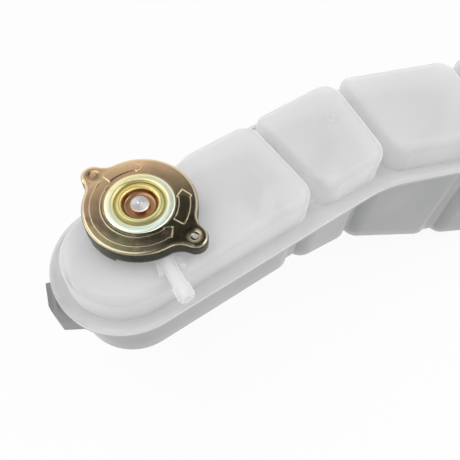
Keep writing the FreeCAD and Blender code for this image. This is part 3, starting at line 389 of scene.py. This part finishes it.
def outline_reach(angles):
    """The cap's edge from its axis, at each angle in radians."""
    reach = np.full(len(angles), ROUND)
    blend_at = ROUND + BLEND
    for ear_angle, ear_reach in EARS:
        centre = ear_reach - TIP
        spread = math.acos((blend_at ** 2 + centre ** 2 - (TIP + BLEND) ** 2) / (2 * blend_at * centre))
        touch_share = TIP / (TIP + BLEND)
        touch_x = centre + touch_share * (blend_at * math.cos(spread) - centre)
        touch_y = touch_share * (blend_at * math.sin(spread))
        touch_angle = math.atan2(touch_y, touch_x)
        turn = np.abs((angles - math.radians(ear_angle) + math.pi) % (2 * math.pi) - math.pi)
        on_tip = turn <= touch_angle
        over = turn[on_tip]
        reach[on_tip] = centre * np.cos(over) + np.sqrt(TIP ** 2 - (centre * np.sin(over)) ** 2)
        on_blend = (turn > touch_angle) & (turn < spread)
        off = spread - turn[on_blend]
        reach[on_blend] = blend_at * np.cos(off) - np.sqrt(BLEND ** 2 - (blend_at * np.sin(off)) ** 2)
    return reach


def polar_points(places):
    return np.array([(r * math.cos(math.radians(a)), r * math.sin(math.radians(a))) for r, a in places])


def polar_point(r, a):
    return polar_points([(r, a)])[0]


def arc_places(r, start, end, step=3.0):
    count = max(2, int(abs(end - start) / step))
    return [(r, start + (end - start) * index / count) for index in range(count + 1)]


# Wordless frames: an open arrow by the near ear and a long arrow that runs round the left side
SHORT_FRAME = (
    [(26.2, -11.0), (30.4, -22.2), (29.3, -24.6)] + arc_places(29.3, -24.6, -62.5) + [(22.7, -62.0)]
    + arc_places(22.7, -62.0, -22.6) + [(21.8, -20.6), (26.2, -11.0)])
LONG_FRAME = (
    arc_places(28.9, 114.5, 274.5) + [(29.8, 276.5), (25.4, 287.2), (22.1, 278.0), (22.9, 275.5)]
    + arc_places(22.9, 275.5, 114.0))
FRAMES = (polar_points(SHORT_FRAME), polar_points(LONG_FRAME))
LINE_HALF = 0.42
LINE_HEIGHT = 0.34

# A bare raised panel by the far ear
PANEL = polar_points(
    [(26.9, 55.6), (30.9, 66.0)] + arc_places(30.7, 68.0, 106.5) + [(24.0, 107.0)]
    + arc_places(24.0, 106.0, 66.0) + [(23.4, 62.5), (26.9, 55.6)])
PANEL_HEIGHT = 0.36
PANEL_OUT = 0.35
PANEL_SLOPE = 0.9

# The band of the flat that holds the frames and the panel
RELIEF_FROM = 20.5
RELIEF_TO = 32

HOLE = polar_point(HOLE_AT, EARS[0][0])
DIMPLE = polar_point(DIMPLE_AT, EARS[1][0])
EAR_MIDDLES = [polar_point(ear_reach - TIP - 1.0, ear_angle) for ear_angle, ear_reach in EARS]


def distance_to_line(points, line):
    best = np.full(len(points), 1e9)
    for start, end in zip(line[:-1], line[1:]):
        span = end - start
        length = (span ** 2).sum()
        if length < 1e-12:
            continue
        part = np.clip(((points - start) @ span) / length, 0, 1)
        gap = points - start - part[:, None] * span
        best = np.minimum(best, np.sqrt((gap ** 2).sum(1)))
    return best


def distance_to(points, centre=(0, 0)):
    return np.sqrt(((points - centre) ** 2).sum(1))


def inside(points, line):
    """True for points inside a closed line."""
    count = np.zeros(len(points), int)
    for (x0, y0), (x1, y1) in zip(line[:-1], line[1:]):
        if y0 == y1:
            continue
        crosses = (points[:, 1] >= min(y0, y1)) & (points[:, 1] < max(y0, y1))
        at = x0 + (points[:, 1] - y0) / (y1 - y0) * (x1 - x0)
        count += crosses & (at > points[:, 0])
    return count % 2 == 1


def ease(value):
    """A soft climb from 0 to 1 as the value goes from 0 to 1."""
    value = np.clip(value, 0, 1)
    return value * value * (3 - 2 * value)


def fade(value, start, width):
    """One up to the start, then a soft fall to 0 over the width."""
    return 1 - ease((value - start) / width)


def cover_height(points):
    """Height above the cover's flat, for points in plan about the cap's axis."""
    reach = distance_to(points)
    height = steady_curve(RING_PROFILE, reach)
    near = (reach > RELIEF_FROM) & (reach < RELIEF_TO)
    zone = points[near]
    raised = np.zeros(len(zone))
    for line in FRAMES:
        raised = np.maximum(raised, LINE_HEIGHT * fade(distance_to_line(zone, line), 0, LINE_HALF))
    depth = distance_to_line(zone, PANEL) * np.where(inside(zone, PANEL), 1, -1)
    raised = np.maximum(raised, PANEL_HEIGHT * ease((depth + PANEL_OUT) / PANEL_SLOPE))
    height[near] += raised
    for middle in EAR_MIDDLES:
        height -= EAR_DISH * fade(distance_to(points, middle), EAR_DISH_FLAT, EAR_DISH_SLOPE)
    height -= DIMPLE_DEPTH * fade(distance_to(points, DIMPLE), 0, DIMPLE_RADIUS)
    return height


def cap_sheet():
    angles = np.arange(AROUND) * 2 * math.pi / AROUND
    direction = np.stack([np.cos(angles), np.sin(angles)], 1)
    edge = direction * outline_reach(angles)[:, None]
    tangent = np.roll(edge, -1, 0) - np.roll(edge, 1, 0)
    normal = np.stack([tangent[:, 1], -tangent[:, 0]], 1)
    normal /= distance_to(normal)[:, None]
    rings = []

    def add(plan, height):
        rings.append(np.column_stack([plan, np.broadcast_to(height, len(plan))]))

    # The upper side, out to the rounded edge
    for reach in UPPER_RINGS:
        add(direction * reach, cover_height(direction * reach))
    flat_edge = edge - normal * EDGE
    circle = direction * LEAVING_CIRCLE
    for part in np.linspace(0, 1, FLAT_RINGS):
        plan = circle + (flat_edge - circle) * part
        add(plan, cover_height(plan))
    for turn in np.radians([15, 30, 45, 60, 75, 90]):
        plan = edge - normal * EDGE * (1 - math.sin(turn))
        add(plan, cover_height(flat_edge) * math.cos(turn) - EDGE * (1 - math.cos(turn)))

    # Down the skirt, which reaches lower at the two tabs, and up its inner face
    foot = np.full(AROUND, COVER_FOOT - COVER_TOP)
    for turn in (0, 180):
        off = np.abs((np.degrees(angles) - LUG_ANGLE - turn + 180) % 360 - 180)
        foot[off <= TAB_HALF] = LUG_FOOT - COVER_TOP
    for part in (0.33, 0.66, 1.0):
        add(edge, -EDGE + (foot + EDGE + OUTER_BEVEL) * part)
    add(edge - normal * OUTER_BEVEL, foot)
    add(edge - normal * (SHEET - INNER_BEVEL), foot)
    add(edge - normal * SHEET, foot + INNER_BEVEL)
    for part in (0.5, 1.0):
        add(edge - normal * SHEET, foot + INNER_BEVEL + (-EDGE - foot - INNER_BEVEL) * part)

    # The under side, back to the middle
    under_edge = EDGE - SHEET
    for turn in np.radians([60, 30, 0]):
        plan = edge - normal * (SHEET + under_edge * (1 - math.sin(turn)))
        add(plan, -SHEET - under_edge * (1 - math.cos(turn)))
    add(circle + (flat_edge - circle) * 0.5, -SHEET - UNDER_SAG)
    for reach in UNDER_RINGS:
        shifted = reach + UNDER_SHIFT if reach < UNDER_SHIFT_WITHIN else reach
        crown = steady_curve(RING_PROFILE, np.array([shifted]))[0]
        add(direction * reach, min(crown, UNDER_CROWN) - SHEET)

    points = np.concatenate(rings) * MM + np.array([NECK_X, NECK_Y, WELD_Z + COVER_TOP * MM])
    here = np.arange(len(rings) * AROUND).reshape(len(rings), AROUND)
    after = np.roll(here, -1, 0)
    faces = np.stack([here, after, np.roll(after, -1, 1), np.roll(here, -1, 1)], -1).reshape(-1, 4)
    return mesh_object("cap_cover_sheet", points, faces)


def drill(item, centre, hole_radius, low, high):
    bpy.ops.mesh.primitive_cylinder_add(vertices=48, radius=hole_radius, depth=high - low,
                                        location=(centre[0], centre[1], (low + high) / 2))
    cutter = bpy.context.active_object
    modifier = item.modifiers.new("hole", "BOOLEAN")
    modifier.operation = "DIFFERENCE"
    modifier.solver = "MANIFOLD"
    modifier.object = cutter
    bpy.context.view_layer.objects.active = item
    bpy.ops.object.modifier_apply(modifier=modifier.name)
    bpy.data.objects.remove(cutter)


cap = cap_sheet()
drill(cap, (NECK_X + HOLE[0] * MM, NECK_Y + HOLE[1] * MM), HOLE_RADIUS * MM,
      WELD_Z + (COVER_TOP - 4) * MM, WELD_Z + (COVER_TOP + 3) * MM)
smooth(cap)


# Yellow chromated steel

# The way in plan from the cap's front to its back, and how far the change takes: olive and copper are the
# plating's tints, and the fall from bright at the back to dark in front is a painted reflection
PAINTED_LIGHT_WAY = (0.105, 0.994)
PAINTED_LIGHT_SPAN = 60 * MM

# Reach is scaled so that the whole ring falls between 0 and 1
REACH_SCALE = 40

PAINTED_GLINT = (0.9, 0.8, 0.6)
DARK_SPECK = (0.07, 0.055, 0.035)
HOLLOW_BROWN = (0.07, 0.055, 0.03)
CREAM_AND_HIGHLIGHT = (0.92, 0.82, 0.56)


def chromate(name, front, back, pink, green, roughness, brushed=0.0, tint_and_shade_by_reach=None, painted_shade_until=0.2):
    """Zinc plating with a yellow passivation, olive in front and copper at the back, painted dark in front
    and bright at the back as a painted reflection.
    """
    shader = Shader(name)
    shader.metal(brushed)
    place = shader.place(offset=(NECK_X, NECK_Y, 0))
    drift = shader.noise(place, 48, 2, 0.5, 0.6)
    patch = shader.noise(shader.place(offset=(0.3, 0.1, 0.2)), 150, 3, 0.55)
    # Painted reflection: the colour runs from dark in front to bright at the back, wandering a little
    painted_light_across = shader.vector_math("DOT_PRODUCT", place, (PAINTED_LIGHT_WAY[0] / PAINTED_LIGHT_SPAN, PAINTED_LIGHT_WAY[1] / PAINTED_LIGHT_SPAN, 0))
    wander = shader.math("MULTIPLY_ADD", drift, 0.7, 0.15)
    side = shader.math("ADD", painted_light_across.outputs["Value"], wander)
    colour = shader.ramp(side, [(painted_shade_until, front), (0.94, back)])
    colour = shader.mix(shader.grey(patch, [(0.5, 0.0), (0.75, 0.35)]), colour, pink)
    colour = shader.mix(shader.grey(drift, [(0.48, 0.0), (0.66, 0.45)]), colour, green)
    grain = shader.noise(place, 1500, 2, 0.5)
    # The ring's tints by reach: its own tints on the rings, with painted shade in the groove between them
    # and on their slopes
    if tint_and_shade_by_reach:
        flat_place = shader.vector_math("MULTIPLY", place, (REACH_SCALE, REACH_SCALE, 0))
        reach = shader.vector_math("LENGTH", flat_place.outputs["Vector"]).outputs["Value"]
        tint = shader.ramp(reach, [(r * MM * REACH_SCALE, shade) for r, shade in tint_and_shade_by_reach])
        colour = shader.mix(1.0, colour, tint, "MULTIPLY")
        spun = shader.add("ShaderNodeTexNoise", noise_dimensions="1D")
        shader.join(reach, spun.inputs["W"])
        spun.inputs["Scale"].default_value = 130
        grain = shader.mix(0.8, grain, spun.outputs["Fac"])
    specks = shader.noise(place, 760, 2, 0.5)
    # Painted glints where the specks are high, and dark specks where they are low
    colour = shader.mix(shader.grey(specks, [(0.74, 0.0), (0.79, 0.5)]), colour, PAINTED_GLINT)
    colour = shader.mix(shader.grey(specks, [(0.22, 0.5), (0.27, 0.0)]), colour, DARK_SPECK)
    # Darker brown in the far ear's hollow and lighter cream, from the cap's own attributes; along the edge
    # the cream is a painted highlight
    for attribute, tint in (("hollow_brown", HOLLOW_BROWN), ("cream_and_highlight", CREAM_AND_HIGHLIGHT)):
        share = shader.add("ShaderNodeAttribute", attribute_name=attribute)
        colour = shader.mix(share.outputs["Fac"], colour, tint)
    shader.set(Base_Color=colour, Roughness=shader.grey(patch, [(0.3, roughness), (0.75, roughness * 1.4)]))
    shader.bump(grain, 0.12, 0.00012)
    return shader.material


cover_flat = chromate(
    "chromate_flat", front=(0.088, 0.076, 0.050), back=(0.74, 0.50, 0.29), pink=(0.50, 0.32, 0.25),
    green=(0.20, 0.20, 0.10), roughness=0.16, painted_shade_until=0.36)
# The ring's copy is painted much brighter than the flat: a painted reflection of the bright surroundings
cover_ring_painted_bright = chromate(
    "chromate_ring_painted_bright", front=(0.80, 0.90, 0.78), back=(0.97, 0.86, 0.42), pink=(0.97, 0.86, 0.68),
    green=(0.84, 0.94, 0.80), roughness=0.3, brushed=0.6,
    tint_and_shade_by_reach=[(10.3, (0.72, 0.55, 0.3)), (12.2, (0.86, 0.78, 0.46)), (13.6, (0.6, 0.5, 0.26)),
              (14.6, (0.3, 0.24, 0.12)), (15.6, (0.7, 0.62, 0.36)), (17.0, (1, 1, 1))])
cover_dish = chromate(
    "chromate_dish", front=(0.34, 0.19, 0.10), back=(0.50, 0.32, 0.15), pink=(0.46, 0.21, 0.13),
    green=(0.40, 0.33, 0.16), roughness=0.24)
# The skirt's copy is painted darker: painted shade on the skirt's sides
cover_side_painted_shade = chromate(
    "chromate_side_painted_shade", front=(0.05, 0.048, 0.034), back=(0.15, 0.11, 0.07), pink=(0.12, 0.08, 0.055),
    green=(0.07, 0.075, 0.045), roughness=0.26)


# How strong the lighter cream and the darker brown are where they are strongest; along the edge the cream
# is a painted highlight
FRAME_CREAM = 0.75
EDGE_HIGHLIGHT = 0.55
HOLE_CREAM = 0.5
EAR_HOLLOW_BROWN = 0.6


def cream_and_highlight_share(plan, rise):
    """Lighter cream on the frames and round the hole, and a painted highlight along the edge, for places in
    millimetres.
    """
    reach = distance_to(plan)
    on_frame = np.zeros(len(plan))
    for line in FRAMES:
        on_frame = np.maximum(on_frame, FRAME_CREAM * fade(distance_to_line(plan, line), 0, LINE_HALF * 0.9))
    on_frame *= (rise > -0.9) & (reach > 20.8)
    margin = outline_reach(np.arctan2(plan[:, 1], plan[:, 0])) - reach
    # Painted highlight along the rounded edge
    painted_edge_highlight = EDGE_HIGHLIGHT * ease((2.3 - margin) / 0.8) * ease((margin - 0.15) / 0.7) * (rise > -2.0)
    cream_by_hole = HOLE_CREAM * fade(distance_to(plan, HOLE), 2.2, 3.4)
    return np.clip(np.maximum(on_frame + painted_edge_highlight, cream_by_hole), 0, 1)


def hollow_brown_share(plan, rise):
    """Darker brown in the hollow of the far ear, for places in millimetres."""
    return EAR_HOLLOW_BROWN * fade(distance_to(plan, EAR_MIDDLES[1]), 2.0, 3.5) * (rise > -1.2)


vertices = cap.data.vertices
plan = np.array([(vertex.co.x - NECK_X, vertex.co.y - NECK_Y) for vertex in vertices]) / MM
rise = np.array([vertex.co.z - WELD_Z for vertex in vertices]) / MM - COVER_TOP
for attribute, share in (("cream_and_highlight", cream_and_highlight_share(plan, rise)), ("hollow_brown", hollow_brown_share(plan, rise))):
    values = cap.data.attributes.new(attribute, "FLOAT", "POINT")
    values.data.foreach_set("value", share.astype(np.float32))

# Reaches of the dish round the rivet and of the ring round it, and how far down the side begins, which
# takes the copy painted darker as painted shade
DISH_REACH = 10.3
RING_REACH = 20.7
SIDE_HEIGHT = -1.5
FLAT, RING, DISH, SHADED_SKIRT = range(4)
cap.data.materials.clear()
for material in (cover_flat, cover_ring_painted_bright, cover_dish, cover_side_painted_shade):
    cap.data.materials.append(material)
for polygon in cap.data.polygons:
    reach = math.hypot(polygon.center.x - NECK_X, polygon.center.y - NECK_Y) / MM
    height = (polygon.center.z - WELD_Z) / MM - COVER_TOP
    if reach < DISH_REACH:
        polygon.material_index = DISH
    elif reach < RING_REACH:
        polygon.material_index = RING
    elif height < SIDE_HEIGHT:
        polygon.material_index = SHADED_SKIRT
    else:
        polygon.material_index = FLAT
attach(cap, "cap_cover")


def locking_lug(name, angle):
    """The lug turned in from the skirt, with its inner corners rounded."""
    outer = ROUND - SHEET * 0.5
    inner = LUG_INNER + LUG_CORNER
    side = LUG_HALF - LUG_CORNER
    outline = [(outer, -LUG_HALF), (outer, LUG_HALF)]
    for middle, start in ((side, 90), (-side, 180)):
        for turn in np.radians(np.arange(start, start + 91, 15)):
            outline.append((inner + LUG_CORNER * math.cos(turn), middle + LUG_CORNER * math.sin(turn)))
    count = len(outline)
    a = math.radians(angle)
    points = []
    for z in (LUG_FOOT, LUG_FOOT + SHEET):
        for x, y in outline:
            points.append((NECK_X + (x * math.cos(a) - y * math.sin(a)) * MM,
                           NECK_Y + (x * math.sin(a) + y * math.cos(a)) * MM, WELD_Z + z * MM))
    faces = [tuple(range(count))[::-1], tuple(range(count, 2 * count))]
    faces += [(k, (k + 1) % count, count + (k + 1) % count, count + k) for k in range(count)]
    item = mesh_object(name, points, faces)
    modifier = item.modifiers.new("edge", "BEVEL")
    modifier.width = LUG_BEVEL * MM
    modifier.segments = 2
    item.data.materials.append(cover_flat)
    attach(item, "cap_cover")


for number, turn in ((1, 0), (2, 180)):
    locking_lug(f"cap_locking_lug_{number}", LUG_ANGLE + turn)
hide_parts("cap_shell")


# Other metals and rubber

def turned_metal(name, colour, tint, roughness, brushed=0.0, side=None):
    """Plain metal with soft patches of a tint, and another tint on its sides where one is given."""
    shader = Shader(name)
    shader.metal(brushed)
    place = shader.place(offset=(NECK_X, NECK_Y, 0))
    patch = shader.noise(place, 220, 3, 0.6)
    shade = shader.mix(shader.grey(patch, [(0.3, 0.0), (0.75, 1.0)]), colour, tint)
    if side:
        shade = shader.mix(shader.facing_up([(0.45, 1.0), (0.8, 0.0)]), shade, side)
    shader.set(Base_Color=shade, Roughness=shader.grey(patch, [(0.3, roughness), (0.7, roughness * 1.4)]))
    shader.bump(shader.noise(place, 2200, 2, 0.5), 0.1, 0.0001)
    return shader.material


def seal_rubber():
    shader = Shader("seal_rubber_black")
    place = shader.place()
    cloud = shader.noise(place, 300, 3)
    shade = shader.ramp(cloud, [(0.3, (0.022, 0.022, 0.023)), (0.7, (0.045, 0.045, 0.046))])
    shader.set(Base_Color=shade, Roughness=0.62)
    shader.bump(shader.noise(place, 1800, 2), 0.15, 0.0002)
    return shader.material


rivet_metal = turned_metal("rivet_steel", colour=(0.84, 0.82, 0.83), tint=(0.68, 0.65, 0.67),
                           roughness=0.26, brushed=0.7, side=(0.62, 0.36, 0.22))
spring_steel = turned_metal("spring_steel_bright", colour=(0.62, 0.62, 0.61), tint=(0.45, 0.44, 0.42),
                            roughness=0.28)
valve_brass = turned_metal("valve_brass_satin", colour=(0.76, 0.58, 0.28), tint=(0.6, 0.42, 0.2),
                           roughness=0.3)
rubber = seal_rubber()

finishes = {
    "centre_rivet": rivet_metal,
    "spring_disc": spring_steel,
    "spring_bell": spring_steel,
    "rim_seal": rubber,
    "valve_seal": rubber,
    "valve_plate": valve_brass,
    "vacuum_valve": valve_brass,
    "vacuum_keeper": valve_brass,
}
for name, material in finishes.items():
    dress(name, material)


# Coil springs, each carried by one body

STEPS_PER_TURN = 40
WIRE_SIDES = 12

# Turns of the flat coil at each end, and how softly the wire leaves it
DEAD_TURNS = 0.6
SOFT_SHARE = 0.3


def coil(node, body, mean_radius, wire, turns):
    """A round wire wound as long as the spring it replaces, with a flat dead coil at each end."""
    low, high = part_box(node)
    foot, head = low.z + wire / 2, high.z - wire / 2
    steps = int((turns + 2 * DEAD_TURNS) * STEPS_PER_TURN)
    points = []
    for step in range(steps + 1):
        turned = step / STEPS_PER_TURN
        rise = min(max((turned - DEAD_TURNS) / turns, 0), 1)
        rise = ease(rise) * SOFT_SHARE + rise * (1 - SOFT_SHARE)
        angle = turned * 2 * math.pi
        centre = Vector((NECK_X, NECK_Y, foot + (head - foot) * rise))
        out = Vector((math.cos(angle), math.sin(angle), 0))
        for k in range(WIRE_SIDES):
            a = k / WIRE_SIDES * 2 * math.pi
            up = Vector((0, 0, wire / 2 * math.sin(a)))
            points.append(centre + out * (mean_radius + wire / 2 * math.cos(a)) + up)
    last = steps * WIRE_SIDES
    faces = [tuple(range(WIRE_SIDES)), tuple(range(last, last + WIRE_SIDES))[::-1]]
    for first in range(0, last, WIRE_SIDES):
        for k in range(WIRE_SIDES):
            here, after = first + k, first + (k + 1) % WIRE_SIDES
            faces.append((here, here + WIRE_SIDES, after + WIRE_SIDES, after))
    item = mesh_object(node + "_coil", points, faces)
    smooth(item)
    item.data.materials.append(spring_steel)
    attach(item, body)
    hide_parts(node)
    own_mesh(item)


coil("pressure_spring", "cap_core",
     mean_radius=12.9 * MM, wire=1.5 * MM, turns=2.5)
coil("vacuum_spring", "pressure_valve",
     mean_radius=2.8 * MM, wire=0.5 * MM, turns=3)


# Floor, backdrop and lights

def shown_rays(tree):
    """One for rays that show the background: from the camera, in gloss and through clear plastic."""
    path = tree.add("ShaderNodeLightPath")
    total = path.outputs["Is Camera Ray"]
    for ray in ("Is Glossy Ray", "Is Transmission Ray"):
        total = tree.math("MAXIMUM", total, path.outputs[ray])
    return total


FLOOR_HALF = 3
FLOOR_GAP = 0.5 * MM
FLOOR_OWN_LIGHT = 0.92
floor_z = cad_box[0][2] - FLOOR_GAP
floor = mesh_object("floor", [(FLOOR_HALF * x, FLOOR_HALF * y, floor_z)
                              for x, y in ((-1, -1), (1, -1), (1, 1), (-1, 1))], [(0, 1, 2, 3)])
pale = Shader("floor_pale")
pale.set(Base_Color=(0.75, 0.75, 0.75), Roughness=0.85)
glow = pale.add("ShaderNodeEmission")
pale.feed(glow.inputs["Color"], (1, 1, 1))
pale.blend(pale.math("MULTIPLY", shown_rays(pale), FLOOR_OWN_LIGHT), glow)
floor.data.materials.append(pale.material)

# The dome lights the object, and the ceiling is what gloss and clear plastic show
SKY_TOP = 0.93
SKY_SIDE = 0.24
CEILING_LEVEL = 0.1
CEILING_FROM = 0.66
CEILING_FULL = 0.9
world = bpy.data.worlds.new("studio")
scene.world = world
world.use_nodes = True
sky = Tree(world.node_tree)
upward = sky.add("ShaderNodeSeparateXYZ")
sky.join(sky.add("ShaderNodeTexCoord").outputs["Generated"], upward.inputs[0])
dome = sky.grey(upward.outputs["Z"], [(0.0, SKY_SIDE), (1.0, SKY_TOP)])
ceiling = sky.grey(upward.outputs["Z"], [(CEILING_FROM, 1.0), (CEILING_FULL, CEILING_LEVEL)])
background = sky.nodes["Background"]
background.inputs["Strength"].default_value = 1.0
sky.join(sky.mix(shown_rays(sky), dome, ceiling), background.inputs["Color"])


def softbox(name, location, target, width, height, power):
    data = bpy.data.lights.new(name, "AREA")
    data.shape = "RECTANGLE"
    data.size, data.size_y = width, height
    data.energy = power
    item = bpy.data.objects.new(name, data)
    scene.collection.objects.link(item)
    item.location = location
    item.rotation_euler = (Vector(target) - Vector(location)).to_track_quat("-Z", "Y").to_euler()
    item.visible_camera = False


MIDDLE = (0.2, -0.02, 0.0)
LEFT_END = (0.02, 0.0, 0.0)
softbox("key", (-0.25, 0.35, 1.1), MIDDLE, width=0.9, height=0.9, power=4.3)
softbox("fill", (0.75, -0.3, 0.95), MIDDLE, width=0.5, height=0.5, power=2.0)
softbox("near_strip", (0.35, -0.70, 0.38), MIDDLE, width=0.9, height=0.11, power=1.5)
softbox("left_strip", (-0.62, 0.34, 0.16), LEFT_END, width=0.5, height=0.09, power=0.9)

scene.view_settings.view_transform = "Standard"
